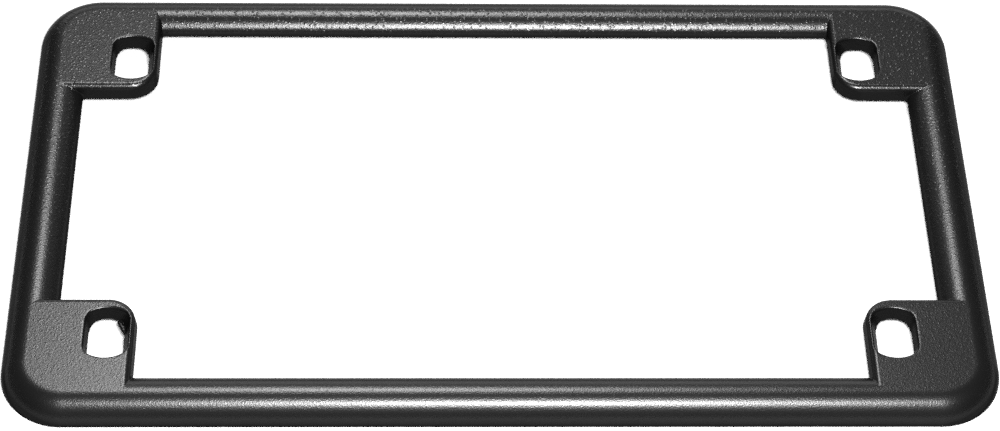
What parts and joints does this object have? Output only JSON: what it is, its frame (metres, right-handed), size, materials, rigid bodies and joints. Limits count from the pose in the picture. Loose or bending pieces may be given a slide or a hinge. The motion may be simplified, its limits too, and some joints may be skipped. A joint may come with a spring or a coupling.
{
  "type": "number plate holder",
  "caption": "Cast border for a small number plate: rounded bars round an open window, a plate recess at the back and a bolt slot through each corner pad.",
  "frame": {"origin": "middle of the back rim's plane, the underside of the bounding box", "axes": "+Z out of the front face, +X along the long side to the right as seen from the front, +Y across the short side to the top"},
  "size_m": [0.1846, 0.1062, 0.0051],
  "materials": {
    "casting": "black fine-texture powder coat on a zinc die casting"
  },
  "bodies": {
    "root": {"plate_frame": "casting"}
  },
  "joints": []
}
